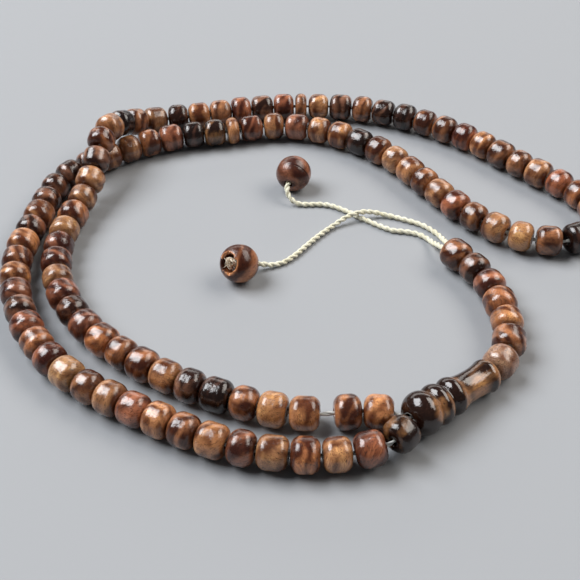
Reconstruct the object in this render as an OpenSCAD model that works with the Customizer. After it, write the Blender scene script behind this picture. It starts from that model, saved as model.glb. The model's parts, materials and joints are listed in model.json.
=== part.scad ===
/* [Loop beads] */
// Widest diameter of a loop bead
bead_d = 6; // [5.6:0.1:6]
// Mean length of a loop bead along its bore
bead_len = 4.85; // [4.5:0.05:4.85]
// How much one hand-turned bead differs in length from the next, as a fraction
len_spread = 0.06; // [0:0.01:0.06]
// How much one hand-turned bead differs in diameter from the next, as a fraction
size_spread = 0.025; // [0:0.005:0.025]
// Mean radius of a loop bead's two round shoulders, as a fraction of its diameter
shoulder_share = 0.29; // [0.26:0.01:0.3]
// How much one bead's shoulders differ from the next's, as a fraction
shoulder_spread = 0.1; // [0:0.01:0.1]
// Diameter of every loop bead's bore
bore_d = 1.6; // [1.5:0.1:1.8]
// Free string between the second and third beads, which the first two can slide along
slack = 2.2; // [1.8:0.1:2.2]

/* [Spacer discs] */
// Diameter of the two discs that divide the loop in three
disc_d = 6.1; // [5.6:0.1:6.2]
// Thickness of a disc
disc_len = 2.7; // [2:0.1:2.8]

/* [Leader bead] */
// Radius of the rounded head that both ends of the loop run into
head_r = 3.85; // [3.7:0.05:3.9]
// Radius of the second ring
ring_r = 3.65; // [3.5:0.05:3.65]
// Radius of the third ring
collar_r = 3.4; // [3.2:0.05:3.4]
// Radius at the waist
waist_r = 2.65; // [2.3:0.05:2.7]
// Radius of the flared end
flare_r = 3.05; // [2.9:0.05:3.1]
// Diameter of the bore for the doubled string
leader_bore_d = 2.2; // [2.1:0.1:2.4]

/* [Tail] */
// Diameter of a twisted end cord
cord_d = 1.1; // [0.9:0.1:1.2]
// Diameter of the loop string
string_d = 0.8; // [0.6:0.1:0.9]
// Diameter of the doubled cord inside the tail beads
inner_cord_d = 1.5; // [1.2:0.1:1.6]
// Diameter of the bores in the tail beads
tail_bore_d = 2; // [1.9:0.1:2.2]

/* [End beads] */
// Diameter of the two end beads
end_bead_d = 7.5; // [7.2:0.1:7.6]
// Diameter of the pocket that hides the stopper knot
pocket_d = 3.5; // [3.4:0.1:3.6]
// Depth of the pocket
pocket_depth = 2.8; // [2.8:0.1:3]
// Diameter of the stopper knot
knot_d = 2.8; // [2.6:0.1:2.8]

/* [Hidden] */
RUN = 33;             // loop beads in each third of the loop
SINGLES = [6, 3, 3];  // how many beads at the start of each third are separate nodes
TAIL = 7;             // tail beads
$fn = 48;

fuzz = 0.01;           // overlap that keeps a cut or a joint clean
shoulder_min = shoulder_share * bead_d * (1 - shoulder_spread);
flat_max = bead_d * (1 + size_spread) / 2 - shoulder_min;  // radius of the widest flat end on a bead
disc_shoulder = 0.45 * disc_len;
end_shoulder = 0.43 * end_bead_d;
disc_share = 3.4;      // string taken up by one spacer disc, with the gaps beside it
cord_gap = 0.1;        // space between a cord's end and what it runs on to
string_in = 0.8;       // how far the loop string's two ends reach into the leader
tail_play = 0.4;       // bare end of the leader's bore, in which the tail's cord can swing
cord_sides = 8;
route_steps = 6;       // straight steps between two points of a route

// The loop's string, from the leader's mouth round to the mouth again. It crosses over itself
// once, at the left, and turns back on itself at the right.
LOOP = [
    [13.6, -47.5, 4.1], [12.9, -46.9, 3.8], [11.6, -45.2, 3.2], [9.5, -44.8, 3.1], [-3, -45.1, 3.1],
    [-17.5, -40.5, 3.1], [-32, -32, 3.1], [-43.5, -21, 3.1], [-50, -7.5, 3.1], [-50.5, 7.5, 3.1],
    [-48, 17, 4], [-46, 26.5, 7.4], [-45.5, 31, 9.5], [-44.5, 36, 9.4], [-42.5, 41, 7.2],
    [-36.5, 48.5, 3.3], [-26.5, 50.5, 3.1], [-12, 53.5, 3.1], [-1.5, 54, 3.1], [12, 52.5, 3.1],
    [23, 48, 3.1], [36, 38.5, 3.1], [46.5, 26.5, 3.1], [55, 17, 3.1], [58.5, 9.5, 3.1],
    [56.5, 3.5, 3.1], [50.5, -0.5, 3.1], [43, 0.5, 3.1], [33.5, 7.5, 3.1], [26, 18.5, 3.1],
    [17, 32.5, 3.1], [5, 42, 3.1], [-8, 45.5, 3.1], [-17.5, 43.5, 3.1], [-32, 41, 3.1],
    [-45.5, 33.5, 3.1], [-53, 26.5, 3.1], [-57, 10, 3.1], [-58.5, -2, 3.1], [-55, -18, 3.1],
    [-46, -32.5, 3.1], [-30, -44, 3.1], [-12, -52.5, 3.1], [0, -54, 3.1], [8, -53.1, 3.4],
    [12, -52.2, 4.6], [14.2, -48.3, 4.1]
];
DISC_1_AT = 18;  // point of LOOP that carries the first spacer disc
DISC_2_AT = 33;  // and the second
lead_in = 3.1;      // bare string between the leader's mouth and the first bead
lead_out = 1;       // and between the last bead and the mouth
slack_from = 13.1;  // string from the leader's mouth to the free gap
tail_gap = 0.6;     // bare cord between the leader's flare and the first tail bead

// The leader bead lies on its head and its flare, so its axis dips a little.
MOUTH = [13.9, -47.9, 4.1];
leader_yaw = 37;
head_at = 2.8;      // places of the rings along the leader, from its mouth
ring_at = 6.1;
collar_at = 9.4;
waist_at = 14;
flare_at = 17.6;
leader_len = 19.2;
leader_pitch = asin((head_r - flare_r) / (flare_at - head_at));
leader_axis = [
    cos(leader_yaw) * cos(leader_pitch), sin(leader_yaw) * cos(leader_pitch), -sin(leader_pitch)
];
TAIL_END = MOUTH + leader_len * leader_axis;

// The doubled cord, from the leader's flared end through the tail beads
TAIL_ROUTE = [
    TAIL_END, [32.5, -32.5, 3.1], [34, -27, 3.1], [34, -21.5, 3.1], [33.5, -16, 3.1], [32, -11, 3.1],
    [29.5, -6.5, 3.1], [26.1, -1.9, 3.1]
];

// The end cords, from the last tail bead to the mouths of the end beads
CORD_A = [
    [25.5, -1.8, 2.9], [24.8, 0, 2.3], [24, 2.2, 1.3], [23, 4.5, 0.7], [21.5, 6, 0.6],
    [19, 7, 0.6], [16.5, 7.5, 0.6], [14, 9, 0.6], [11.5, 11, 0.6], [9.5, 12.5, 0.6],
    [8, 14, 0.6], [6, 15.5, 0.6], [4, 16.7, 0.6], [1.5, 17.3, 0.6], [-1, 17.3, 0.6],
    [-3, 17.5, 0.8], [-4.6, 18.4, 1.6], [-5.2, 19.8, 2.7]
];
CORD_B = [
    [26.5, -1.2, 2.9], [26.6, 0.6, 2.3], [26.4, 2.8, 1.3], [25.7, 5.2, 0.7], [24.5, 7.2, 0.6],
    [22.5, 9.2, 0.6], [19.5, 11, 0.6], [17, 12.2, 0.6], [14.5, 12.9, 0.9], [12, 12.9, 1.5],
    [9.5, 12.3, 1.8], [7, 11.2, 1.5], [4.5, 9.6, 0.8], [1.5, 6.7, 0.6], [-1.5, 3, 0.6],
    [-4, -0.2, 0.6], [-6.5, -2.4, 0.6], [-8.7, -3.2, 0.8], [-10.7, -3.5, 1.3]
];

// Centres of the end beads, and where their knot pockets point
END_A = [-3.7, 24.5, 3.75];
END_A_POCKET = [0.35, 0.92, 0.16];
END_B = [-14.7, -6.2, 3.75];
END_B_POCKET = [-0.66, -0.56, 0.5];
end_bead_len = 0.94 * end_bead_d;
pocket_floor = end_bead_len / 2 - pocket_depth;  // its height over the bead's centre

function two(n) = n < 10 ? str("0", n) : str(n);
function sum(list) = list * [for (item = list) 1];
function sums(list) = [
    for (i = 0, total = 0; i <= len(list); total = total + (i < len(list) ? list[i] : 0), i = i + 1) total
];
function unit(v) = v / norm(v);

// A smooth curve through a route's points, whatever the distance between them. It never dips
// under the lowest of them.
function chord(route, i) = norm(route[i + 1] - route[i]);
function slope(route, i) =
    i == 0 ? (route[1] - route[0]) / chord(route, 0) :
    i == len(route) - 1 ? (route[i] - route[i - 1]) / chord(route, i - 1) :
    let (a = chord(route, i - 1), b = chord(route, i))
    ((route[i + 1] - route[i]) * a / b + (route[i] - route[i - 1]) * b / a) / (a + b);
function between(route, i, t) =
    let (h = chord(route, i), near = (1 - t) * (1 - t), far = t * t)
    (1 + 2 * t) * near * route[i] + t * near * h * slope(route, i)
    + (3 - 2 * t) * far * route[i + 1] - (1 - t) * far * h * slope(route, i + 1);
function smooth(route, steps) =
    let (lowest = min([for (point = route) point[2]]))
    [
        for (i = [0:len(route) - 2]) for (j = [0:steps - 1])
        let (point = between(route, i, j / steps))
        [point[0], point[1], max(point[2], lowest)],
        route[len(route) - 1]
    ];

// A track is a curve looked up by the distance along it, one table for each of x, y and z.
function track(route) =
    let (
        path = smooth(route, route_steps),
        s = sums([for (i = [1:len(path) - 1]) norm(path[i] - path[i - 1])])
    )
    [for (axis = [0:2]) [for (i = [0:len(path) - 1]) [s[i], path[i][axis]]]];
function at(track, s) = [for (axis = [0:2]) lookup(s, track[axis])];
function reached(track, point) = track[0][point * route_steps][0];
function track_len(track) = track[0][len(track[0]) - 1][0];

// How sharply the track bends at a place
function bend(track, s, reach) =
    let (back = at(track, s) - at(track, s - reach), ahead = at(track, s + reach) - at(track, s))
    norm(back) * norm(ahead) == 0 ? 0 : acos(min(1, unit(back) * unit(ahead)));
// Extra room that two beads need where the track bends between them
function bend_room(track, s, reach) =
    let (half = bend(track, s, reach) / 2)
    2 * (flat_max * tan(half) + shoulder_min * (1 / cos(half) - 1));

// Pieces of the given lengths, spread evenly over a stretch of track. Each comes back as the
// string's points before and after it, its centre between them and its size.
function stretch(track, from, to, sizes) =
    let (
        n = len(sizes),
        share = (to - from) / n,
        room = [for (k = [0:n]) k == 0 || k == n ? 0 : bend_room(track, from + k * share, share)],
        spare = (to - from - sum([for (size = sizes) size[0]]) - sum(room)) / n,
        shares = sums([for (k = [0:n - 1]) sizes[k][0] + room[k + 1] + spare]),
        starts = [for (k = [0:n - 1]) from + spare / 2 + shares[k]],
        ends = [for (k = [0:n - 1]) starts[k] + sizes[k][0]],
        joins = [for (k = [0:n]) k == 0 ? from : k == n ? to : (ends[k - 1] + starts[k]) / 2]
    )
    [
        for (k = [0:n - 1])
        let (
            before = at(track, joins[k]),
            after = at(track, joins[k + 1]),
            part = (starts[k] + sizes[k][0] / 2 - joins[k]) / (joins[k + 1] - joins[k])
        )
        [before, after, before + part * (after - before), sizes[k]]
    ];
function befores(pieces) = [for (piece = pieces) piece[0]];

// Each bead's length, diameter and the radius of its shoulders. Hand-turned beads differ a little,
// by rules that don't repeat along the string.
function bead_size(n) = [
    bead_len * (1 + len_spread * sin(137 * n)),
    bead_d * (1 + size_spread * sin(211 * n)),
    shoulder_share * bead_d * (1 + shoulder_spread * sin(173 * n))
];
function bead_sizes(first, last) = [for (n = [first:last]) bead_size(n)];

loop = track(LOOP);
disc_1_s = reached(loop, DISC_1_AT);
disc_2_s = reached(loop, DISC_2_AT);
half_share = disc_share / 2;
loose_beads = stretch(loop, lead_in, slack_from, bead_sizes(1, 2));
inner_beads = stretch(loop, slack_from + slack, disc_1_s - half_share, bead_sizes(3, RUN));
disc_1 = stretch(loop, disc_1_s - half_share, disc_1_s + half_share, [[disc_len, disc_d, disc_shoulder]])[0];
middle_beads = stretch(loop, disc_1_s + half_share, disc_2_s - half_share, bead_sizes(RUN + 1, 2 * RUN));
disc_2 = stretch(loop, disc_2_s - half_share, disc_2_s + half_share, [[disc_len, disc_d, disc_shoulder]])[0];
outer_beads = stretch(
    loop, disc_2_s + half_share, track_len(loop) - lead_out, bead_sizes(2 * RUN + 1, 3 * RUN)
);
beads = concat(loose_beads, inner_beads, middle_beads, outer_beads);

tail = track(TAIL_ROUTE);
tail_beads = stretch(tail, tail_gap, track_len(tail), bead_sizes(3 * RUN + 1, 3 * RUN + TAIL));

// Where each node of loop beads starts and ends: single beads first, then threes
GROUPS = [
    for (run = [0:2])
    each concat(
        [for (k = [1:SINGLES[run]]) [run * RUN + k, run * RUN + k]],
        [for (k = [SINGLES[run] + 1:3:RUN]) [run * RUN + k, run * RUN + k + 2]]
    )
];
function group_name(group) =
    group[0] == group[1] ? str("loop_bead_", two(group[0]))
    : str("loop_beads_", two(group[0]), "_", two(group[1]));

WOODS = ["saddlebrown", "sienna", "peru", "#4a2c17"];

// Turns a shape made along Z so that it points along axis, with its middle at the centre
module aim(centre, axis) {
    translate(centre)
    rotate([0, acos(axis[2] / norm(axis)), atan2(axis[1], axis[0])])
    children();
}

// Half the section of a turned bead along Z, of a length, diameter and shoulder radius: two round
// shoulders with a straight belly between them, flat ends and a straight bore
module bead_section(size, bore) {
    length = size[0];
    d = size[1];
    shoulder = size[2];
    intersection() {
        union() {
            for (end = [-1, 1])
                translate([d / 2 - shoulder, end * (length / 2 - shoulder)])
                circle(shoulder);
            translate([0, shoulder - length / 2])
            square([d / 2, length - 2 * shoulder]);
            translate([0, -length / 2])
            square([d / 2 - shoulder, length]);
        }
        translate([bore / 2, -length / 2])
        square([d, length]);
    }
}

module turned_bead(size, bore) {
    rotate_extrude()
    bead_section(size, bore);
}

// A tube through points, with a ring of flat sides at each one
module tube(points, d, sides) {
    last = len(points) - 1;
    rings = [
        for (i = [0:last])
        let (
            along = unit(points[min(i + 1, last)] - points[max(i - 1, 0)]),
            side = unit(cross([0, 0, 1], along)),
            up = cross(along, side)
        )
        for (k = [0:sides - 1])
        points[i] + d / 2 * (cos(360 * k / sides) * side + sin(360 * k / sides) * up)
    ];
    walls = [
        for (i = [0:last - 1]) for (k = [0:sides - 1])
        let (next = (k + 1) % sides)
        [i * sides + k, (i + 1) * sides + k, (i + 1) * sides + next, i * sides + next]
    ];
    polyhedron(
        points = rings,
        faces = concat(
            walls,
            [[for (k = [0:sides - 1]) k]],
            [[for (k = [sides - 1:-1:0]) last * sides + k]]
        ),
        convexity = 10
    );
}

module loop_bead(n) {
    bead = beads[n - 1];
    color(WOODS[(n * 7) % len(WOODS)])
    aim(bead[2], bead[1] - bead[0])
    turned_bead(bead[3], bore_d);
}

module loop_beads(group) {
    for (n = [group[0]:group[1]])
        loop_bead(n);
}

module spacer_disc(disc) {
    color("rosybrown")
    aim(disc[2], disc[1] - disc[0])
    turned_bead(disc[3], bore_d);
}

module loop_string() {
    last = LOOP[len(LOOP) - 1];
    points = concat(
        [LOOP[0] + string_in * leader_axis, LOOP[0], LOOP[1]],
        befores(loose_beads), [loose_beads[1][1]],
        befores(inner_beads), [disc_1[0]],
        befores(middle_beads), [disc_2[0]],
        befores(outer_beads), [outer_beads[RUN - 1][1]],
        [last, last + string_in * leader_axis]
    );
    color("ivory")
    tube(points, string_d, cord_sides);
}

// The leader's outline is a chain of round rings, a long hollow waist and a round flared end.
module leader_outline() {
    head_round = head_at;
    ring_round = 1.75;
    collar_round = 1.7;
    flare_round = leader_len - flare_at;
    waist_round = (pow(flare_at - waist_at, 2) + pow(flare_r - waist_r, 2)) / (2 * (flare_r - waist_r));
    translate([head_r - head_round, head_at])
    circle(head_round);
    square([head_r - head_round, head_at + fuzz]);
    translate([ring_r - ring_round, ring_at])
    circle(ring_round);
    translate([collar_r - collar_round, collar_at])
    circle(collar_round);
    translate([flare_r - flare_round, flare_at])
    circle(flare_round);
    translate([0, head_at])
    square([waist_r - fuzz, flare_at - head_at]);
    translate([0, flare_at])
    square([flare_r - flare_round, flare_round]);
    difference() {
        translate([0, collar_at])
        square([collar_r - collar_round / 2, flare_at - collar_at]);
        translate([waist_r + waist_round, waist_at])
        circle(waist_round, $fn = 240);
    }
}

module leader_bead() {
    color("#3b2313")
    aim(MOUTH, leader_axis)
    rotate_extrude()
    difference() {
        intersection() {
            leader_outline();
            square([head_r + 1, leader_len]);
        }
        translate([-fuzz, -fuzz])
        square([leader_bore_d / 2 + fuzz, leader_len + 2 * fuzz]);
    }
}

// The doubled cord where the leader bead holds it
module leader_cord() {
    start = string_in + cord_gap;
    color("ivory")
    aim(MOUTH, leader_axis)
    translate([0, 0, start])
    cylinder(h = leader_len - start - tail_play, d = inner_cord_d);
}

module tail_inner_cord() {
    points = concat([at(tail, cord_gap)], befores(tail_beads), [tail_beads[TAIL - 1][1]]);
    color("ivory")
    tube(points, inner_cord_d, cord_sides);
}

module tail_bead(n) {
    bead = tail_beads[n - 1];
    color(WOODS[(n * 3) % len(WOODS)])
    aim(bead[2], bead[1] - bead[0])
    turned_bead(bead[3], tail_bore_d);
}

// An end cord lies along its route, enters the end bead's bore and stops under the knot.
module end_cord(route, centre, pocket) {
    color("cornsilk")
    tube(
        concat(
            route,
            [centre - end_bead_len / 2 * unit(pocket)],
            [centre + (pocket_floor - cord_gap) * unit(pocket)]
        ),
        cord_d, cord_sides
    );
}

// A round bead with a narrow bore for its cord and a wide pocket for the knot
module end_bead(centre, pocket) {
    color("saddlebrown")
    aim(centre, pocket)
    rotate_extrude()
    difference() {
        bead_section([end_bead_len, end_bead_d, end_shoulder], bore_d);
        translate([0, pocket_floor])
        square([pocket_d / 2, end_bead_len]);
    }
}

// The stopper knot sits in the pocket, just off its floor.
module end_knot(centre, pocket) {
    color("wheat")
    aim(centre, pocket)
    translate([0, 0, pocket_floor + knot_d / 2])
    sphere(d = knot_d);
}

for (group = GROUPS)
    loop_beads(group);
loop_string();
spacer_disc(disc_1);  // spacer_disc_1
spacer_disc(disc_2);  // spacer_disc_2
leader_bead();
leader_cord();
tail_inner_cord();
for (n = [1:TAIL])
    tail_bead(n);
end_cord(CORD_A, END_A, END_A_POCKET);  // tail_cord_a
end_cord(CORD_B, END_B, END_B_POCKET);  // tail_cord_b
end_bead(END_A, END_A_POCKET);  // end_bead_a
end_bead(END_B, END_B_POCKET);  // end_bead_b
end_knot(END_A, END_A_POCKET);  // end_knot_a
end_knot(END_B, END_B_POCKET);  // end_knot_b
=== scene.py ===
import json
import math
import random

import bmesh
import bpy
import numpy as np
from mathutils import Matrix, Vector


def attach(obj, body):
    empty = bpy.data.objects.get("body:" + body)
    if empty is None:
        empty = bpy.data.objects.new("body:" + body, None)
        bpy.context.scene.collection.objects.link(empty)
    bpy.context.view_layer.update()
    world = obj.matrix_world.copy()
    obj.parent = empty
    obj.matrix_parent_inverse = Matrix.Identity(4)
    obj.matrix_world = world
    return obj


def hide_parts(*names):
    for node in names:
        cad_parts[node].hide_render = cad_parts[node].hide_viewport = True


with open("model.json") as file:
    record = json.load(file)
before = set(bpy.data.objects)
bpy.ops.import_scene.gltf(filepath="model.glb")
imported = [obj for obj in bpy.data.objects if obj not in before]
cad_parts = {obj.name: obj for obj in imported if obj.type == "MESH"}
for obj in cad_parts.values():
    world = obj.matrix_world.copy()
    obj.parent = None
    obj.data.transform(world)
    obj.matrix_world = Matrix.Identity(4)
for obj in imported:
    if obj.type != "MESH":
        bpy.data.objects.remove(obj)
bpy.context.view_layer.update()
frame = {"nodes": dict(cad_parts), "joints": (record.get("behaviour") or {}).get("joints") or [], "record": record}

# Routes, sizes and places are in millimetres, and MM turns them into metres.
MM = 0.001
NODES = frame["nodes"]
BODIES = frame["record"]["behaviour"]["bodies"]
BODY_OF = {node: body for body, nodes in BODIES.items() for node in nodes}
JOINT_OF = {joint["child"]: joint for joint in frame["joints"]}
FULL_TURN = 2 * math.pi

# The camera stands where the photograph was taken from, with the string about 200 mm away.
CAMERA_AT = Vector((-5, -157.42, 125.82)) * MM
CAMERA_TILT = math.radians(49.52)
CAMERA_ROLL = math.radians(-1.156)
CAMERA_LENS = 62.37

# The end cords' routes, the same as the CAD model's
CORD_A = [
    (25.5, -1.8, 2.9), (24.8, 0, 2.3), (24, 2.2, 1.3), (23, 4.5, 0.7), (21.5, 6, 0.6),
    (19, 7, 0.6), (16.5, 7.5, 0.6), (14, 9, 0.6), (11.5, 11, 0.6), (9.5, 12.5, 0.6),
    (8, 14, 0.6), (6, 15.5, 0.6), (4, 16.7, 0.6), (1.5, 17.3, 0.6), (-1, 17.3, 0.6),
    (-3, 17.5, 0.8), (-4.6, 18.4, 1.6), (-5.2, 19.8, 2.7),
]
CORD_B = [
    (26.5, -1.2, 2.9), (26.6, 0.6, 2.3), (26.4, 2.8, 1.3), (25.7, 5.2, 0.7), (24.5, 7.2, 0.6),
    (22.5, 9.2, 0.6), (19.5, 11, 0.6), (17, 12.2, 0.6), (14.5, 12.9, 0.9), (12, 12.9, 1.5),
    (9.5, 12.3, 1.8), (7, 11.2, 1.5), (4.5, 9.6, 0.8), (1.5, 6.7, 0.6), (-1.5, 3, 0.6),
    (-4, -0.2, 0.6), (-6.5, -2.4, 0.6), (-8.7, -3.2, 0.8), (-10.7, -3.5, 1.3),
]
CORD_D = 1.1
PLIES = 2                   # strands twisted together in every cord and string
CORD_GAP = 0.1              # space between a cord's end and what it runs on to

# The loop string leaves the leader's mouth for the first bead, and comes back from the last one.
STRING_FROM_MOUTH = np.array([(13.6, -47.5, 4.1), (12.9, -46.9, 3.8)])
STRING_TO_MOUTH = np.array((14.2, -48.3, 4.1))
STRING_IN_LEADER = 0.8
STRING_D = 0.8
INNER_CORD_D = 1.5
TAIL_PLAY = 0.4             # bare end of the leader's bore, in which the tail's cord can swing

# The beads
RUN = 33                    # loop beads in each third of the loop
TAIL = 7                    # tail beads
LOOP_BORE = 1.6
TAIL_BORE = 2.0
BORE_EDGE = 0.2             # how wide the eased edge of a bore is
BEAD_SIDES = 56             # flat sides that stand for the round of a small bead

# The leader bead along its axis, from its mouth: each ring's height over the axis, its place and
# its roundness, then the radius and the place of the waist
LEADER_RINGS = [(3.85, 2.8, 2.8), (3.65, 6.1, 1.75), (3.4, 9.4, 1.7), (3.05, 17.6, 1.6)]
LEADER_WAIST = (2.65, 14)
LEADER_LENGTH = 19.2
LEADER_BORE = 2.2
LEADER_MOUTH = np.array((13.9, -47.9, 4.1))
LEADER_LIT = np.array((0.6, -0.75, 0.25))      # the way its side with painted light faces, which is made lighter
LEADER_SIDES = 120

# The end beads
END_BEAD_D = 7.5
END_BEAD_LENGTH = 0.94 * END_BEAD_D
END_SHOULDER = 0.43 * END_BEAD_D
END_BEAD_SIDES = 160
POCKET_D = 3.5              # the pocket that hides the stopper knot
POCKET_DEPTH = 2.8
SCORE_AT = -0.9             # the scored line's height along the bore of the first end bead
SCORE_TOWARD = np.array((0.62, -0.31, 0.72))   # the way the middle of that line faces

# Wood tones: the colour of the ground, the colour of the figure, and how much figure there is
TONES = {
    "L": ((0.42, 0.205, 0.082), (0.20, 0.075, 0.030), 0.36),
    "T": ((0.46, 0.210, 0.086), (0.10, 0.030, 0.012), 0.44),
    "B": ((0.39, 0.155, 0.062), (0.056, 0.015, 0.007), 0.49),
    "R": ((0.33, 0.112, 0.052), (0.050, 0.012, 0.007), 0.48),
    "D": ((0.25, 0.104, 0.055), (0.022, 0.007, 0.004), 0.53),
    "K": ((0.085, 0.030, 0.017), (0.010, 0.004, 0.003), 0.55),
    "P": ((0.34, 0.180, 0.105), (0.20, 0.085, 0.046), 0.36),
    "G": ((0.31, 0.145, 0.055), (0.014, 0.005, 0.003), 0.54),
}
# The tone of every loop bead in the order they are threaded, one line for each third of the loop,
# and then of the tail beads and the two discs
LOOP_TONES = (
    "TBTLBKDTBBBRDRTRRLBTTDBTKBTDTBRDR"
    "TDBDKBBRTBBTRBTDKBLTBRTBTTBKTTRTR"
    "GKRBTTDDDDTDTBTRDRBRLBTRTBTRTBTRG"
)
TAIL_TONES = "PBTBRDB"
DISC_TONES = "BT"

# All random choices are drawn from this one, in the order of this file, so every run is the same.
dice = random.Random(3399)


# --- meshes -----------------------------------------------------------------------------------

def lathe(profile, sides):
    """A closed outline of (radius, height) turned round Z: its points and faces."""
    turns = np.linspace(0, FULL_TURN, sides, endpoint=False)
    outline = np.array(profile)
    count = len(outline)
    points = np.concatenate([
        np.column_stack([outline[:, 0] * math.cos(a), outline[:, 0] * math.sin(a), outline[:, 1]])
        for a in turns
    ])
    faces = []
    for i in range(sides):
        here, there = i * count, (i + 1) % sides * count
        for j in range(count):
            k = (j + 1) % count
            faces.append((here + j, there + j, there + k, here + k))
    return points, faces


def frames_along(route):
    """The direction and two cross directions at each point of a route, turned as little as possible."""
    along = np.gradient(route, axis=0)
    along /= np.linalg.norm(along, axis=1)[:, None]
    side = np.cross(along[0], (0, 0, 1))
    side /= np.linalg.norm(side)
    sides = []
    for direction in along:
        side = side - direction * side.dot(direction)
        side /= np.linalg.norm(side)
        sides.append(side)
    sides = np.array(sides)
    return along, sides, np.cross(along, sides)


def travelled(route):
    """How far along a route each of its points lies."""
    return np.concatenate([[0], np.cumsum(np.linalg.norm(np.diff(route, axis=0), axis=1))])


def even(route, step):
    """The route with its points an even step apart."""
    route = np.array(route, float)
    at = travelled(route)
    places = np.linspace(0, at[-1], max(2, round(at[-1] / step) + 1))
    return np.column_stack([np.interp(places, at, route[:, axis]) for axis in range(3)])


def smooth(route, steps=8):
    """A smooth curve through a route's points, as the CAD model's."""
    points = np.array(route, float)
    gaps = np.linalg.norm(np.diff(points, axis=0), axis=1)
    slopes = [(points[1] - points[0]) / gaps[0]]
    for i in range(1, len(points) - 1):
        a, b = gaps[i - 1], gaps[i]
        before, after = points[i] - points[i - 1], points[i + 1] - points[i]
        slopes.append((after * a / b + before * b / a) / (a + b))
    slopes.append((points[-1] - points[-2]) / gaps[-1])
    curve = []
    for i, gap in enumerate(gaps):
        for t in np.arange(steps) / steps:
            near, far = (1 - t) ** 2, t ** 2
            curve.append(
                (1 + 2 * t) * near * points[i] + t * near * gap * slopes[i]
                + (3 - 2 * t) * far * points[i + 1] - (1 - t) * far * gap * slopes[i + 1]
            )
    return np.array(curve + [points[-1]])


def pipe(route, radii, sides):
    """A tube along a route with a radius at each point: its points, faces and lay coordinates,
    which are how far along the tube a point is and which way round it."""
    along, side, up = frames_along(route)
    count = len(route)
    turns = np.linspace(0, FULL_TURN, sides, endpoint=False)
    ring = np.cos(turns)[None, :, None] * side[:, None] + np.sin(turns)[None, :, None] * up[:, None]
    points = (route[:, None] + ring * np.asarray(radii)[:, None, None]).reshape(-1, 3)
    lay = np.stack([
        np.repeat(travelled(route), sides), np.tile(np.cos(turns), count), np.tile(np.sin(turns), count)
    ], axis=1)
    faces = []
    for i in range(count - 1):
        here, there = i * sides, (i + 1) * sides
        for k in range(sides):
            beside = (k + 1) % sides
            faces.append((here + k, here + beside, there + beside, there + k))
    faces.append(tuple(range(sides))[::-1])
    faces.append(tuple((count - 1) * sides + k for k in range(sides)))
    return points, faces, lay


PRESSED = 1.12              # how much a ply is wider than one that would only touch the others
# A ply gets a little thicker and thinner along its way, in two waves: how much, how often, and
# how far one ply's wave is ahead of the next one's
PLY_WAVES = [(0.06, 2.3, 1.7), (0.04, 5.1, 1.0)]
TIP = 0.55                  # width of a ply at its very end, as a fraction
LOOSE_END = 6               # length over which a cord's end may swell


def twist(route, rope, turn, sides, step, swell=0.0):
    """A rope of plies twisted round a route. rope is its full width and turn the length of one
    twist. swell is how much looser and wider it gets over its last few millimetres."""
    line = even(route, step)
    along, side, up = frames_along(line)
    ply_r = rope / 2 / (1 + 1 / math.sin(math.pi / PLIES)) * PRESSED
    far = travelled(line)
    wide = 1 + swell * np.exp(-((far[-1] - far) / LOOSE_END) ** 4)
    orbit = ((rope / 2 - ply_r) * wide)[:, None]
    parts = []
    for ply in range(PLIES):
        angle = FULL_TURN * (far / turn + ply / PLIES)
        centre = line + orbit * (np.cos(angle)[:, None] * side + np.sin(angle)[:, None] * up)
        loose = np.ones_like(far)
        for size, often, ahead in PLY_WAVES:
            loose = loose + size * np.sin(far * often + ahead * ply)
        ends = np.minimum(1, TIP + (1 - TIP) * np.minimum(far, far[-1] - far) / (2 * ply_r))
        parts.append(pipe(centre, ply_r * loose * ends * wide, sides))
    return merge(parts)


def merge(parts):
    """Several (points, faces, values) as one."""
    points, faces, values = [], [], []
    start = 0
    for part_points, part_faces, part_values in parts:
        points.append(part_points)
        values.append(part_values)
        faces += [tuple(start + i for i in face) for face in part_faces]
        start += len(part_points)
    return np.concatenate(points), faces, np.concatenate(values)


def make(name, points, faces, material, vectors=None, colours=None):
    """A smooth mesh object from points in millimetres, with named values at its points."""
    mesh = bpy.data.meshes.new(name)
    mesh.from_pydata((np.asarray(points) * MM).tolist(), [], faces)
    mesh.polygons.foreach_set("use_smooth", [True] * len(mesh.polygons))
    mesh.materials.append(material)
    for key, values in (vectors or {}).items():
        mesh.attributes.new(key, "FLOAT_VECTOR", "POINT").data.foreach_set("vector", np.ravel(values))
    for key, values in (colours or {}).items():
        mesh.attributes.new(key, "FLOAT_COLOR", "POINT").data.foreach_set("color", np.ravel(values))
    mesh.validate()
    thing = bpy.data.objects.new(name, mesh)
    bpy.context.scene.collection.objects.link(thing)
    return thing


def stand_for(thing, node):
    """The finished piece takes over from its CAD node and moves with that node's body."""
    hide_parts(node)
    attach(thing, BODY_OF[node])
    return thing


# --- reading the frame ------------------------------------------------------------------------

WELD = 1e-7                 # metres between corners that are taken as one
LEVEL = 0.01                # millimetres between heights or radii that are taken as equal


def joined_corners(grid):
    """The corners of each separate solid in a mesh, one list for each solid."""
    seen, found = set(), []
    for seed in grid.verts:
        if seed in seen:
            continue
        seen.add(seed)
        island, front = [], [seed]
        while front:
            corner = front.pop()
            island.append(corner)
            for edge in corner.link_edges:
                other = edge.other_vert(corner)
                if other not in seen:
                    seen.add(other)
                    front.append(other)
        found.append(island)
    return found


def turning_axis(corners):
    """The axis of a turned solid: the one line that the normals of all its faces pass through."""
    faces = list(dict.fromkeys(face for corner in corners for face in corner.link_faces))
    areas = np.array([face.calc_area() for face in faces])
    middles = np.array([face.calc_center_median() for face in faces])
    normals = np.array([face.normal for face in faces])
    levers = np.cross(normals, middles - areas @ middles / areas.sum()) / MM
    return np.linalg.eigh((levers * areas[:, None]).T @ levers)[1][:, 0]


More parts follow.
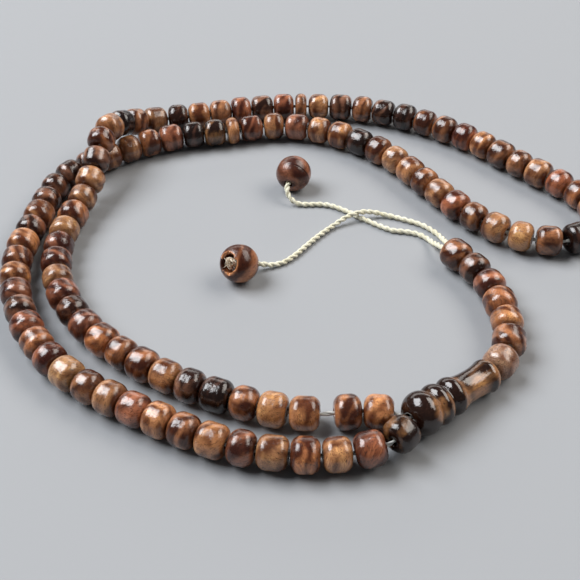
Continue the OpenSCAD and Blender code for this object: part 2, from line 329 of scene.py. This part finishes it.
def solids(node):
    """The corners and the axis of each separate turned solid of a CAD node."""
    grid = bmesh.new()
    grid.from_mesh(NODES[node].data)
    bmesh.ops.remove_doubles(grid, verts=grid.verts, dist=WELD)
    grid.verts.ensure_lookup_table()
    found = [
        (np.array([corner.co for corner in island]) / MM, turning_axis(island))
        for island in joined_corners(grid)
    ]
    grid.free()
    return found


class Turned:
    """A turned CAD bead: its centre, axis, length, diameter and the radius of its shoulders. Its
    axis points away from the bead before it on the string."""

    def __init__(self, solid, before):
        corners, axis = solid
        heights = corners @ axis
        top = corners[heights > heights.max() - LEVEL]
        bottom = corners[heights < heights.min() + LEVEL]
        self.centre = (top.mean(0) + bottom.mean(0)) / 2
        self.axis = axis if axis.dot(self.centre - before) > 0 else -axis
        heights = (corners - self.centre) @ self.axis
        radii = np.linalg.norm(corners - self.centre - np.outer(heights, self.axis), axis=1)
        self.length = 2 * heights.max()
        self.diameter = 2 * radii.max()
        self.shoulder = self.length / 2 - heights[radii > radii.max() - LEVEL].max()

    def end(self, sign):
        """The middle of one of its two ends."""
        return self.centre + sign * self.length / 2 * self.axis


def upright(axis):
    """The rotation that takes Z, along which everything is turned, to a piece's own axis."""
    return np.array(Vector(axis).to_track_quat("Z", "Y").to_matrix())


def first_number(node):
    """The number of the first bead in a loop node."""
    return int(node.split("_")[2])


loop_nodes = sorted((node for node in NODES if node.startswith("loop_bead")), key=first_number)
loop_beads, beads_of = [], {}
last = LEADER_MOUTH
for node in loop_nodes:
    beads_of[node] = []
    for solid in sorted(solids(node), key=lambda s: np.linalg.norm(s[0].mean(0) - last)):
        bead = Turned(solid, last)
        beads_of[node].append(len(loop_beads))
        loop_beads.append(bead)
        last = bead.centre
discs = []
for n in (1, 2):
    discs.append(Turned(solids(f"spacer_disc_{n}")[0], loop_beads[n * RUN - 1].centre))
tail_beads = []
last = LEADER_MOUTH
for n in range(TAIL):
    tail_beads.append(Turned(solids(f"tail_bead_{n + 1}")[0], last))
    last = tail_beads[-1].centre


# --- materials --------------------------------------------------------------------------------

# A colour mix's own sockets, among those that the node has for other kinds of mix
MIX_FACTOR, MIX_A, MIX_B, MIX_RESULT = 0, 6, 7, 2


class Shader:
    """A Principled material built up node by node."""

    def __init__(self, name):
        self.material = bpy.data.materials.new(name)
        self.material.use_nodes = True
        self.tree = self.material.node_tree
        self.surface = self.tree.nodes["Principled BSDF"]

    def add(self, kind, settings=None, **inputs):
        node = self.tree.nodes.new(kind)
        for key, value in (settings or {}).items():
            setattr(node, key, value)
        for key, value in inputs.items():
            self.feed(node.inputs[key.replace("_", " ")], value)
        return node

    def feed(self, socket, value):
        if isinstance(value, bpy.types.NodeSocket):
            self.tree.links.new(value, socket)
        else:
            socket.default_value = value

    def set(self, **inputs):
        for key, value in inputs.items():
            self.feed(self.surface.inputs[key.replace("_", " ")], value)

    def attribute(self, name):
        return self.add("ShaderNodeAttribute", {"attribute_name": name})

    def parts(self, vector):
        return self.add("ShaderNodeSeparateXYZ", Vector=vector).outputs

    def stretched(self, vector, scale):
        return self.add("ShaderNodeMapping", Vector=vector, Scale=scale).outputs["Vector"]

    def noise(self, vector, scale=1.0, detail=2.0, roughness=0.5, distortion=0.0):
        node = self.add(
            "ShaderNodeTexNoise", Vector=vector, Scale=scale, Detail=detail,
            Roughness=roughness, Distortion=distortion,
        )
        return node.outputs["Fac"]

    def math(self, operation, a, b=0.0, c=0.0):
        node = self.add("ShaderNodeMath", {"operation": operation})
        for socket, value in zip(node.inputs, (a, b, c)):
            self.feed(socket, value)
        return node.outputs[0]

    def ramp(self, value, low, high, to_low=0.0, to_high=1.0):
        """A soft step from one value to another as the given value goes from low to high."""
        node = self.add("ShaderNodeMapRange", {"interpolation_type": "SMOOTHSTEP"})
        for socket, given in zip(node.inputs, (value, low, high, to_low, to_high)):
            self.feed(socket, given)
        return node.outputs[0]

    def mix(self, factor, a, b, blend="MIX"):
        node = self.add("ShaderNodeMix", {"data_type": "RGBA", "blend_type": blend})
        self.feed(node.inputs[MIX_FACTOR], factor)
        self.feed(node.inputs[MIX_A], a)
        self.feed(node.inputs[MIX_B], b)
        return node.outputs[MIX_RESULT]

    def bump(self, height, strength, distance):
        node = self.add("ShaderNodeBump", Height=height, Strength=strength, Distance=distance)
        return node.outputs["Normal"]


FIGURE_FROM = 1.1           # where the sum of patches, rings, fibres and share becomes dark figure
RING_DRIFT = 5.5            # millimetres that the growth rings wander
GLOW = (1.6, 1.8, 1.7, 1)
FIBRE_SHADE = (0.5, 0.38, 0.36, 1)
PORE_COLOUR = (0.012, 0.006, 0.005, 1)
VEIN_COLOUR = (0.03, 0.013, 0.008, 1)


def lacquered_wood(name, ring=2.4, polish=0.1, lacquer=1.0, ripple=0.7, blend=0.3):
    """Turned wood under clear lacquer. Each bead carries its own place in the log ("grain", in
    millimetres, fibres along Z and growth layers across X) and its own two colours. ripple is how
    uneven the lacquer is, and blend how softly the two colours run into each other."""
    s = Shader(name)
    grain = s.attribute("grain").outputs["Vector"]
    ground, figure = s.attribute("ground"), s.attribute("figure")

    # growth rings that wander, broad patches, a lighter glow, fibres, pores and thin dark veins
    drift = s.noise(s.stretched(grain, (0.22, 0.22, 0.07)))
    wandering = s.math("MULTIPLY_ADD", drift, RING_DRIFT, s.parts(grain)["X"])
    rings = s.math("SINE", s.math("MULTIPLY", wandering, FULL_TURN / ring))
    patches = s.noise(s.stretched(grain, (0.26, 0.2, 0.09)), detail=3.0, distortion=0.4)
    glow = s.noise(s.stretched(grain, (0.42, 0.5, 0.2)), scale=1.3, detail=3.0, roughness=0.6)
    fibres = s.noise(s.stretched(grain, (5.0, 5.0, 0.55)), detail=4.0, roughness=0.6)
    pores = s.noise(s.stretched(grain, (5.0, 5.0, 0.9)))
    level = s.noise(s.stretched(grain, (0.8, 0.8, 0.24)), detail=3.0, roughness=0.6)
    veins = s.math("ABSOLUTE", s.math("SUBTRACT", level, 0.5))

    # the dark figure, and then the other layers over it one by one
    amount = s.math("MULTIPLY_ADD", fibres, 0.3, patches)
    amount = s.math("MULTIPLY_ADD", rings, 0.09, amount)
    amount = s.math("ADD", amount, figure.outputs["Alpha"])
    dark = s.ramp(amount, FIGURE_FROM - blend / 2, FIGURE_FROM + blend / 2)
    colour = s.mix(dark, ground.outputs["Color"], figure.outputs["Color"])
    colour = s.mix(s.ramp(glow, 0.5, 0.7, 0.0, 0.85), colour, GLOW, "MULTIPLY")
    colour = s.mix(s.ramp(fibres, 0.3, 0.62, 0.85, 0.0), colour, FIBRE_SHADE, "MULTIPLY")
    colour = s.mix(s.ramp(pores, 0.63, 0.69, 0.0, 0.8), colour, PORE_COLOUR)
    colour = s.mix(s.ramp(veins, 0.0, 0.02, 0.65, 0.0), colour, VEIN_COLOUR)

    # the lacquer, which follows the fibres a little and is uneven by itself
    waves = s.noise(grain, scale=1.1, detail=3.0, roughness=0.6)
    brushed = s.math("MULTIPLY_ADD", fibres, 0.22, waves)
    s.set(
        Base_Color=colour,
        Roughness=s.ramp(fibres, 0.2, 0.8, 0.3, 0.44),
        Normal=s.bump(fibres, 0.12, 0.06 * MM),
        Coat_Normal=s.bump(brushed, ripple, 0.14 * MM),
        Specular_IOR_Level=s.ramp(dark, 0, 1, 0.24, 0.03),
        Coat_Weight=lacquer, Coat_Roughness=polish, Coat_IOR=1.55,
    )
    return s.material


def spun(name, lit, shaded, threads=9.0, lean=5.0):
    """Twisted thread. "lay" holds how far along and which way round each ply a point is. threads
    is how many fine threads lie round a ply, and lean how much they wind on each millimetre. lit
    and shaded are a painted lit colour and a painted shade colour."""
    s = Shader(name)
    place = s.attribute("lay").outputs["Vector"]
    lay = s.parts(place)
    round_ply = s.math("ARCTAN2", lay["Z"], lay["Y"])
    slant = s.math("MULTIPLY_ADD", lay["X"], lean, s.math("MULTIPLY", round_ply, threads))
    filament = s.math("SINE", slant)
    fuzz = s.noise(place, scale=2.3, detail=4.0, roughness=0.65)
    worn = s.noise(place, scale=0.35)
    height = s.math("MULTIPLY_ADD", filament, 0.35, fuzz)
    # painted light and shade: raised threads take the painted lit colour, the hollows between them the painted
    # shade colour
    colour = s.mix(s.ramp(height, 0.05, 0.85), shaded, lit)
    # random patches along the cord are pulled part way towards the painted shade colour
    colour = s.mix(s.ramp(worn, 0.4, 0.75, 0.0, 0.45), colour, shaded)
    s.set(
        Base_Color=colour, Roughness=0.62, Normal=s.bump(height, 0.6, 0.08 * MM),
        Sheen_Weight=0.4, Sheen_Roughness=0.4,
    )
    return s.material


BEAD_WOOD = lacquered_wood("bead_wood")
LEADER_WOOD = lacquered_wood("leader_wood", ring=3.4, polish=0.02, ripple=0.35, blend=0.36)
END_WOOD = lacquered_wood("end_wood", ring=4.0, polish=0.22, lacquer=0.7)
DISC_WOOD = lacquered_wood("disc_wood", ring=2.0, polish=0.2, lacquer=0.8)
# each thread material's two colours are a painted lit colour and a painted shade colour
CREAM_CORD = spun("cream_cord", (0.86, 0.85, 0.73, 1), (0.52, 0.48, 0.30, 1))
WHITE_STRING = spun("white_string", (0.84, 0.84, 0.80, 1), (0.45, 0.45, 0.42, 1), threads=7.0)
FRAYED = spun("frayed_cord", (0.95, 0.86, 0.70, 1), (0.62, 0.48, 0.32, 1))


# --- the end cords ----------------------------------------------------------------------------

KNOT_SCALE = 0.3            # size of the knot's three-lobed loop
KNOT_OVER_FLOOR = 1.4       # height of the knot's middle over the pocket's floor
KNOT_CORD_D = 0.92          # the cord's width where it is pulled tight
HAIRS = 26                  # frayed hairs at the cut ends
HAIR_POINTS = 6


def along_joint(name):
    """The centre and the axis of a piece that spins on a joint of its own."""
    joint = JOINT_OF[name]
    return Vector(joint["pos_m"]) / MM, Vector(joint["axis"]).normalized()


def hair(rng):
    """One frayed hair, which starts at the knot's middle and bends as it goes up."""
    angle = rng.uniform(0, FULL_TURN)
    lean = rng.uniform(0.1, 0.75)
    out = np.array([math.cos(angle) * lean, math.sin(angle) * lean, 1.0])
    bend = np.array([rng.uniform(-0.3, 0.3), rng.uniform(-0.3, 0.3), 0])
    steps = np.linspace(0, 1, HAIR_POINTS)[:, None]
    start = np.array([0.5 * out[0], 0.5 * out[1], 0.4])
    line = start + out * steps * rng.uniform(0.7, 1.1) + bend * steps ** 2
    return pipe(line, np.full(HAIR_POINTS, rng.uniform(0.045, 0.08)), 5)


def knot(name, end_bead, rng):
    """The stopper knot: a small tight trefoil of the cord, with its cut ends frayed."""
    centre, axis = along_joint(end_bead)
    seat = END_BEAD_LENGTH / 2 - POCKET_DEPTH + KNOT_OVER_FLOOR
    t = np.linspace(0, FULL_TURN, 120, endpoint=False)
    loop = np.column_stack([
        np.sin(t) + 2 * np.sin(2 * t), np.cos(t) - 2 * np.cos(2 * t), -1.6 * np.sin(3 * t)
    ]) * KNOT_SCALE
    loop = np.concatenate([loop, loop[:1]])
    parts = [twist(loop, KNOT_CORD_D, 2.2, sides=8, step=0.12)]
    parts += [hair(rng) for _ in range(HAIRS)]
    points, faces, lay = merge(parts)
    points = (points + (0, 0, seat)) @ upright(axis).T + np.array(centre)
    return stand_for(make(name, points, faces, FRAYED, {"lay": lay}), name)


def end_cord(name, route, end_bead):
    """One free cord: along the surface from the tail and into its end bead, as far as the knot."""
    centre, axis = along_joint(end_bead)
    mouth = centre - END_BEAD_LENGTH / 2 * axis
    stop = centre + (END_BEAD_LENGTH / 2 - POCKET_DEPTH - CORD_GAP) * axis
    line = smooth(list(route) + [tuple(mouth), tuple(stop)])
    points, faces, lay = twist(line, CORD_D, 3.0, sides=12, step=0.16, swell=0.2)
    cord = stand_for(make(name, points, faces, CREAM_CORD, {"lay": lay}), name)


for side, route in (("a", CORD_A), ("b", CORD_B)):
    tied = knot(f"end_knot_{side}", f"end_bead_{side}", dice)
    end_cord(f"tail_cord_{side}", route, f"end_bead_{side}")


# --- beads ------------------------------------------------------------------------------------

UNEVENNESS = 0.06           # the most that is taken off a turned shape
UNEVEN_FROM = 1.2           # radius within which nothing is taken off, so that bores stay true
UNEVEN_OVER = 1.5           # how much further out the full depth is reached
LEANING = (0, 90, 20)       # least, most and most usual lean of a bead in the log, in degrees
LEADER_LEAN = 0.06          # and the leader's, in radians
LOG = 400                   # how far each way, in its log, a piece's wood may come from
FADE = (0.86, 1.14)         # how much darker or lighter a piece is than its tone
WARMTH = (0.92, 1.08)       # and how much cooler or warmer


def shoulder_arc(half, width, shoulder, least, steps=18):
    """The round from a bead's belly towards one end, as far in as a given radius."""
    turns = np.linspace(0, math.pi / 2, steps)
    arc = [(width / 2 - shoulder * (1 - math.cos(a)), half - shoulder * (1 - math.sin(a))) for a in turns]
    return [point for point in arc if point[0] > least]


def bore_edge(bore, height, down):
    """The eased edge of a bore, from the end of a bead into the bead."""
    return [
        (bore / 2 + BORE_EDGE, height), (bore / 2 + 0.09, height - 0.03),
        (bore / 2 + 0.02, height - 0.1), (bore / 2, height - 0.24), (bore / 2, height - down),
    ]


def bead_outline(length, diameter, shoulder, bore):
    """The closed outline of a turned bead: belly, round shoulders, flat ends and an eased bore."""
    half = length / 2
    upper = shoulder_arc(half, diameter, shoulder, bore / 2 + BORE_EDGE)
    upper += bore_edge(bore, half, 0.6 * half)
    belly = [(diameter / 2, z) for z in np.linspace(shoulder - half, half - shoulder, 5)[1:-1]]
    return belly + upper + [(r, -z) for r, z in reversed(upper)]


def wood_values(local, tone, rng, along=False):
    """Where a piece's points lie in the log, and its two colours, at each point. A bead's bore
    crosses the fibres more or less, and a long piece is turned along them."""
    lean = math.radians(rng.triangular(*LEANING))
    turn = rng.uniform(0, FULL_TURN)
    across = Matrix.Rotation(turn, 3, "Z") @ Matrix.Rotation(lean, 3, "Y")
    place = Matrix.Rotation(math.pi / 2, 3, "Y") @ across
    if along:
        place = Matrix.Rotation(LEADER_LEAN, 3, "X")
    spot = np.array([rng.uniform(-LOG, LOG) for _ in range(3)])
    grain = local @ np.array(place).T + spot
    ground, figure, share = TONES[tone]
    fade = rng.uniform(*FADE)
    warm = rng.uniform(*WARMTH)
    shift = (fade * warm, fade, fade / warm)
    ground = np.array(ground) * shift
    figure = np.array(figure) * shift
    count = len(local)
    return grain, np.tile([*ground, 1.0], (count, 1)), np.tile([*figure, share], (count, 1))


def uneven(points, rng):
    """Takes a little off a turned shape here and there, so that it looks hand-finished."""
    phase = [rng.uniform(0, FULL_TURN) for _ in range(4)]
    angle = np.arctan2(points[:, 1], points[:, 0])
    z = points[:, 2]
    wave = (
        np.sin(2 * angle + phase[0] + 0.5 * z) + np.sin(3 * angle + phase[1] - 0.7 * z)
        + np.sin(5 * angle + phase[2] + z) + np.sin(1.7 * z + phase[3])
    ) / 4
    radius = np.linalg.norm(points[:, :2], axis=1)
    cut = UNEVENNESS * (1 + wave) / 2 * np.clip((radius - UNEVEN_FROM) / UNEVEN_OVER, 0, 1)
    shrink = 1 - cut / np.maximum(radius, 0.1)
    return points * np.column_stack([shrink, shrink, np.ones_like(z)])


def turned(bead, tone, rng, bore):
    """One bead in place: its points, faces and wood values."""
    local, faces = lathe(bead_outline(bead.length, bead.diameter, bead.shoulder, bore), BEAD_SIDES)
    local = uneven(local, rng)
    values = wood_values(local, tone, rng)
    return local @ upright(bead.axis).T + bead.centre, faces, np.hstack(values)


def wooden(node, parts, material):
    """A wooden piece made of one or more turned shapes, in the place of its CAD node."""
    points, faces, values = merge(parts)
    piece = make(
        node, points, faces, material,
        {"grain": values[:, :3]}, {"ground": values[:, 3:7], "figure": values[:, 7:11]},
    )
    stand_for(piece, node)


for node in loop_nodes:
    wooden(node, [turned(loop_beads[n], LOOP_TONES[n], dice, LOOP_BORE) for n in beads_of[node]], BEAD_WOOD)
for n, bead in enumerate(tail_beads):
    wooden(f"tail_bead_{n + 1}", [turned(bead, TAIL_TONES[n], dice, TAIL_BORE)], BEAD_WOOD)
for n, disc in enumerate(discs):
    wooden(f"spacer_disc_{n + 1}", [turned(disc, DISC_TONES[n], dice, LOOP_BORE)], DISC_WOOD)


# --- the leader bead --------------------------------------------------------------------------

LEADER_FIGURE = 0.3         # how much more figure the leader has than other beads of its tone
LEADER_LIGHTENING = 0.62        # and how much of it its lighter wood and the painted light on its lit side take away
WAIST_LIT_OVER = 2.8        # half the length of the waist's lighter stretch, lighter wood with painted light
WAIST_LIT_AT = LEADER_WAIST[1] - 0.3


def leader_outline():
    """Radius at each height: rings, a hollow waist and a flare, with the grooves between eased."""
    heights = np.linspace(0, LEADER_LENGTH, 300)
    radii = np.zeros_like(heights)
    for top, place, round_r in LEADER_RINGS:
        inside = np.abs(heights - place) < round_r
        ring = top - round_r + np.sqrt(np.maximum(0, round_r ** 2 - (heights - place) ** 2))
        radii = np.where(inside, np.maximum(radii, ring), radii)
    waist_r, waist_at = LEADER_WAIST
    head_at, collar_at = LEADER_RINGS[0][1], LEADER_RINGS[2][1]
    flare_r, flare_at = LEADER_RINGS[3][:2]
    waist_round = ((flare_at - waist_at) ** 2 + (flare_r - waist_r) ** 2) / (2 * (flare_r - waist_r))
    hollow = waist_r + waist_round - np.sqrt(np.maximum(0, waist_round ** 2 - (heights - waist_at) ** 2))
    radii = np.where((heights > collar_at) & (heights < flare_at), np.maximum(radii, hollow), radii)
    return heights, np.maximum(radii, waist_r * ((heights > head_at) & (heights < flare_at)))


def lighter_wood_and_painted_light(local, lit):
    """How much of the leader's lighter wood shows at each point, partly its own and partly painted
    light: on the tail side of each ring's crest, and on the waist, both most on the side that faces lit."""
    height = local[:, 2]
    crests = np.zeros(len(local))
    for top, place, round_r in LEADER_RINGS:
        flank = 0.55 * round_r
        off = (height - place - flank) / flank
        crests = np.maximum(crests, 0.85 * np.exp(-off ** 2))
    # painted light: the side that faces the lit direction is made lighter
    facing = local[:, :2] @ lit / np.maximum(np.linalg.norm(local[:, :2], axis=1), 0.1)
    waist = np.exp(-((height - WAIST_LIT_AT) / WAIST_LIT_OVER) ** 2)
    return np.clip(crests * (0.5 + 0.5 * facing) + waist * np.clip(0.3 + 0.8 * facing, 0, 0.9), 0, 1.1)


def leader_bead(axis):
    heights, radii = leader_outline()
    bore = LEADER_BORE / 2
    outer = [(max(r, bore + BORE_EDGE), z) for z, r in zip(heights, radii)]
    inner = [(bore + 0.02, z) for z in np.linspace(LEADER_LENGTH - 0.6, 0.6, 12)]
    local, faces = lathe(outer + inner, LEADER_SIDES)
    turn = upright(axis)
    grain, ground, figure = wood_values(local, "G", dice, along=True)
    # lighter wood, with painted light on the lit side, takes away from the leader's figure
    figure[:, 3] += LEADER_FIGURE - LEADER_LIGHTENING * lighter_wood_and_painted_light(local, (LEADER_LIT @ turn)[:2])
    points = uneven(local, dice) @ turn.T + LEADER_MOUTH
    wooden("leader_bead", [(points, faces, np.hstack([grain, ground, figure]))], LEADER_WOOD)


leader_end = np.array(JOINT_OF["tail"]["pos_m"]) / MM
leader_axis = (leader_end - LEADER_MOUTH) / LEADER_LENGTH
leader_bead(leader_axis)


# --- the end beads ----------------------------------------------------------------------------

CHIP_REACH = 0.5            # how far from the pocket's edge the chips reach
CHIP_OUT = 0.5              # how far outward the edge is moved where it is chipped away
CHIP_DOWN = 0.35            # and how far down
CHIP_WAVES = (1, 2, 3, 5, 8, 14)  # how many chips there are round the edge, of each size
SCORE_FADE = 0.6            # radians over which each end of the scored line fades away
SCORE_WIDTH = 0.075
SCORE_DEPTH = 0.13
WORN_COLOUR = np.array((1.0, 1.4, 1.5))        # how much paler worn wood is in each colour


def end_bead_outline():
    """The closed outline of an end bead, with a wide pocket for the knot at its top, and the
    height of the pocket's edge."""
    half = END_BEAD_LENGTH / 2
    floor = half - POCKET_DEPTH
    pocket_r, bore_r = POCKET_D / 2, LOOP_BORE / 2
    round_top = shoulder_arc(half, END_BEAD_D, END_SHOULDER, pocket_r + 0.1, 60)
    rim = round_top[-1][1]
    outline = round_top + [(pocket_r + 0.02, rim - 0.04)]
    outline += [(pocket_r, z) for z in np.linspace(rim - 0.14, floor + 0.25, 14)]
    outline += [(pocket_r - 0.08, floor + 0.05), (pocket_r - 0.25, floor), (bore_r + 0.05, floor)]
    outline += [(bore_r, z) for z in np.linspace(floor - 0.1, 0.3 - half, 6)]
    round_base = shoulder_arc(half, END_BEAD_D, END_SHOULDER, bore_r + 0.1, 60)
    return outline + [(r, -z) for r, z in reversed(round_base)], rim


def chipped_rim(local, rim, rng):
    """How far the pocket's broken edge is chipped away at each point, from 0 to 1."""
    angle = np.arctan2(local[:, 1], local[:, 0])
    radius = np.linalg.norm(local[:, :2], axis=1)
    waves = sum(np.sin(n * angle + rng.uniform(0, FULL_TURN)) / n ** 0.6 for n in CHIP_WAVES)
    near = np.exp(-((radius - POCKET_D / 2) ** 2 + (local[:, 2] - rim) ** 2) / CHIP_REACH ** 2)
    return near * np.clip(0.4 + 0.6 * waves, 0, 1)


def scored_line(local, toward):
    """Where a dark line is scored part-way round the bead, on the side that faces toward."""
    angle = np.arctan2(local[:, 1], local[:, 0])
    off = np.angle(np.exp(1j * (angle - math.atan2(toward[1], toward[0]))))
    level = SCORE_AT + 0.1 * np.sin(2.3 * off)
    reach = np.clip(1.6 - np.abs(off / SCORE_FADE), 0, 1)
    outside = np.linalg.norm(local[:, :2], axis=1) > POCKET_D / 2 + 0.25
    return reach * np.exp(-((local[:, 2] - level) / SCORE_WIDTH) ** 2) * outside


def end_bead(name, tone, rng, chips, scored):
    """A round bead with a narrow bore for the cord and a wide pocket for the knot. chips is how
    badly the pocket's edge is chipped, and scored how deep the scored line is, from 0 to 1."""
    centre, axis = along_joint(name)
    turn = upright(axis)
    outline, rim = end_bead_outline()
    local, faces = lathe(outline, END_BEAD_SIDES)
    grain, ground, figure = wood_values(local, tone, rng)
    worn = chips * chipped_rim(local, rim, rng)
    line = scored * scored_line(local, SCORE_TOWARD @ turn)
    ground[:, :3] *= 1 + 0.55 * worn[:, None] * WORN_COLOUR
    figure[:, 3] += 1.5 * line - 0.9 * worn
    figure[:, :3] *= 1 - 0.8 * line[:, None]
    local = uneven(local, rng)
    radius = np.linalg.norm(local[:, :2], axis=1)
    local[:, :2] *= (1 + (CHIP_OUT * worn - SCORE_DEPTH * line) / radius)[:, None]
    local[:, 2] -= CHIP_DOWN * worn
    points = local @ turn.T + np.array(centre)
    wooden(name, [(points, faces, np.hstack([grain, ground, figure]))], END_WOOD)


end_bead("end_bead_a", "R", dice, chips=0.2, scored=1.0)
end_bead("end_bead_b", "B", dice, chips=1.0, scored=0.0)


# --- the strings inside -----------------------------------------------------------------------

def threaded(beads):
    """The ends of the beads in turn, which the string passes through."""
    return [bead.end(sign) for bead in beads for sign in (-1, 1)]


def thread(name, route, width, turn):
    """A white string along a route. turn is the length of one twist."""
    points, faces, lay = twist(np.array(route), width, turn, sides=6, step=0.4)
    stand_for(make(name, points, faces, WHITE_STRING, {"lay": lay}), name)


into_leader = STRING_IN_LEADER * leader_axis
loop_route = [
    STRING_FROM_MOUTH[0] + into_leader, *STRING_FROM_MOUTH,
    *threaded(loop_beads[:RUN]), *threaded(discs[:1]),
    *threaded(loop_beads[RUN:2 * RUN]), *threaded(discs[1:]),
    *threaded(loop_beads[2 * RUN:]),
    STRING_TO_MOUTH, STRING_TO_MOUTH + into_leader,
]
thread("loop_string", loop_route, STRING_D, turn=5.0)
leader_ends = (STRING_IN_LEADER + CORD_GAP, LEADER_LENGTH - TAIL_PLAY)
leader_route = [LEADER_MOUTH + place * leader_axis for place in leader_ends]
thread("leader_cord", leader_route, INNER_CORD_D, turn=6.0)
to_tail = tail_beads[0].end(-1) - leader_end
tail_route = [leader_end + 0.1 * to_tail, *threaded(tail_beads)]
thread("tail_inner_cord", tail_route, INNER_CORD_D, turn=6.0)


# --- floor, light and camera ------------------------------------------------------------------

def floor():
    s = Shader("pale_floor")
    s.set(Base_Color=(0.28, 0.29, 0.304, 1), Roughness=0.9, Specular_IOR_Level=0.1)
    bpy.ops.mesh.primitive_plane_add(size=3)
    plane = bpy.context.object
    plane.name = "floor"
    plane.data.materials.append(s.material)


def window(name, towards, distance, width, height, power, colour):
    """A soft rectangular light, which shines on the string from the given direction. Sizes are in
    metres and the power in watts."""
    light = bpy.data.lights.new(name, "AREA")
    light.shape = "RECTANGLE"
    light.size, light.size_y = width, height
    light.energy = power
    light.color = colour
    lamp = bpy.data.objects.new(name, light)
    direction = Vector(towards).normalized()
    lamp.location = direction * distance
    lamp.rotation_euler = direction.to_track_quat("Z", "Y").to_euler()
    lamp.visible_camera = False
    bpy.context.scene.collection.objects.link(lamp)


def studio():
    """A cool window on the left, a warmer one on the right and a low one behind."""
    window(
        "window_left", towards=(-0.574, 0.217, 0.785), distance=1.8, width=1.38, height=1.08,
        power=56, colour=(0.96, 0.975, 1.0),
    )
    window(
        "window_right", towards=(0.64, 0.254, 0.729), distance=1.8, width=1.92, height=0.9,
        power=32, colour=(1.0, 0.94, 0.87),
    )
    window(
        "window_back", towards=(-0.1, 0.94, 0.33), distance=2.4, width=3.3, height=0.66,
        power=14.4, colour=(1.0, 0.97, 0.93),
    )
    world = bpy.data.worlds.new("studio")
    world.use_nodes = True
    sky = world.node_tree.nodes["Background"]
    sky.inputs["Color"].default_value = (0.93, 0.96, 1.0, 1)
    sky.inputs["Strength"].default_value = 0.1
    bpy.context.scene.world = world
    bpy.context.scene.view_settings.view_transform = "Standard"


def camera():
    lens = bpy.data.cameras.new("camera")
    lens.lens = CAMERA_LENS
    lens.sensor_width = 36
    lens.clip_start = 5 * MM
    eye = bpy.data.objects.new("camera", lens)
    turn = Matrix.Rotation(CAMERA_TILT, 4, "X") @ Matrix.Rotation(CAMERA_ROLL, 4, "Z")
    eye.matrix_world = Matrix.Translation(CAMERA_AT) @ turn
    bpy.context.scene.collection.objects.link(eye)
    bpy.context.scene.camera = eye


floor()
studio()
camera()
